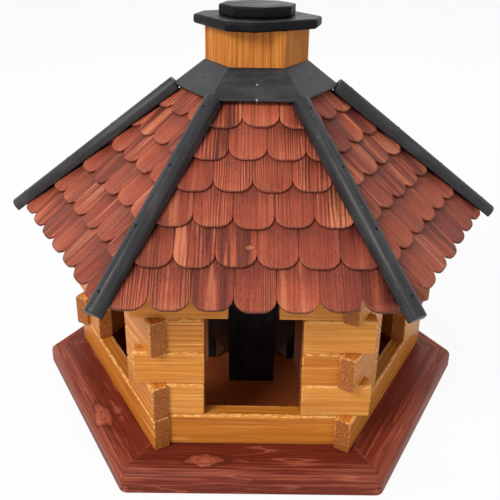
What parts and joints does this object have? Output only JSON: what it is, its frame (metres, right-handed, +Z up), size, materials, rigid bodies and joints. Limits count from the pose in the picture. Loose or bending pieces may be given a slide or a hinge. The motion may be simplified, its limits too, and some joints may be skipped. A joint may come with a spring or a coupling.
{
  "type": "bird feeder",
  "caption": "Hexagonal log-house bird feeder with doorways all round, a lift-off shingled roof, a seed silo in the middle and a lift-off chimney cap.",
  "frame": {"origin": "centre of the base's underside", "axes": "+Z up, -Y out of the front doorway, +X to the right through a corner of the house"},
  "size_m": [0.4262, 0.3716, 0.3376],
  "materials": {
    "honey_wood": "clear honey stain, satin",
    "pale_wood": "raw softwood",
    "stained_wood": "mahogany stain, satin",
    "shingle_wood": "red-brown stain, matt",
    "black_painted_wood": "black paint, satin",
    "steel": "zinc plated",
    "black_painted_metal": "painted over"
  },
  "bodies": {
    "base": {"base_board_front": "stained_wood", "base_board_front_right": "stained_wood", "base_board_back_right": "stained_wood", "base_board_back": "stained_wood", "base_board_back_left": "stained_wood", "base_board_front_left": "stained_wood", "base_tongues": "pale_wood", "floor_panel": "stained_wood", "floor_nails": "steel", "sill_front": "honey_wood", "sill_front_right": "honey_wood", "sill_back_right": "honey_wood", "sill_back": "honey_wood", "sill_back_left": "honey_wood", "sill_front_left": "honey_wood", "logs_front": "honey_wood", "logs_front_right": "honey_wood", "logs_back_right": "honey_wood", "logs_back": "honey_wood", "logs_back_left": "honey_wood", "logs_front_left": "honey_wood", "wall_dowels": "pale_wood", "wall_plates": "honey_wood"},
    "roof": {"roof_panel_front": "pale_wood", "roof_panel_front_right": "pale_wood", "roof_panel_back_right": "pale_wood", "roof_panel_back": "pale_wood", "roof_panel_back_left": "pale_wood", "roof_panel_front_left": "pale_wood", "roof_bearer": "pale_wood", "eave_strips": "pale_wood", "shingles_front": "shingle_wood", "shingles_front_right": "shingle_wood", "shingles_back_right": "shingle_wood", "shingles_back": "shingle_wood", "shingles_back_left": "shingle_wood", "shingles_front_left": "shingle_wood", "batten_right": "black_painted_wood", "batten_back_right": "black_painted_wood", "batten_back_left": "black_painted_wood", "batten_left": "black_painted_wood", "batten_front_left": "black_painted_wood", "batten_front_right": "black_painted_wood", "batten_pins": "black_painted_metal", "collar_boards": "black_painted_wood", "collar_pins": "black_painted_metal", "chimney_boards": "honey_wood", "silo_boards_long": "black_painted_wood", "silo_boards_short": "black_painted_wood"},
    "cap": {"cap_lower_plate": "black_painted_wood", "cap_upper_plate": "black_painted_wood", "cap_plug": "pale_wood", "cap_screws": "steel"}
  },
  "joints": [
    {"name": "roof_lift", "type": "slide", "parent": "base", "child": "roof", "axis": [0, 0, 1], "range_m": [0, 0.2]},
    {"name": "cap_lift", "type": "slide", "parent": "roof", "child": "cap", "axis": [0, 0, 1], "range_m": [0, 0.05]}
  ]
}
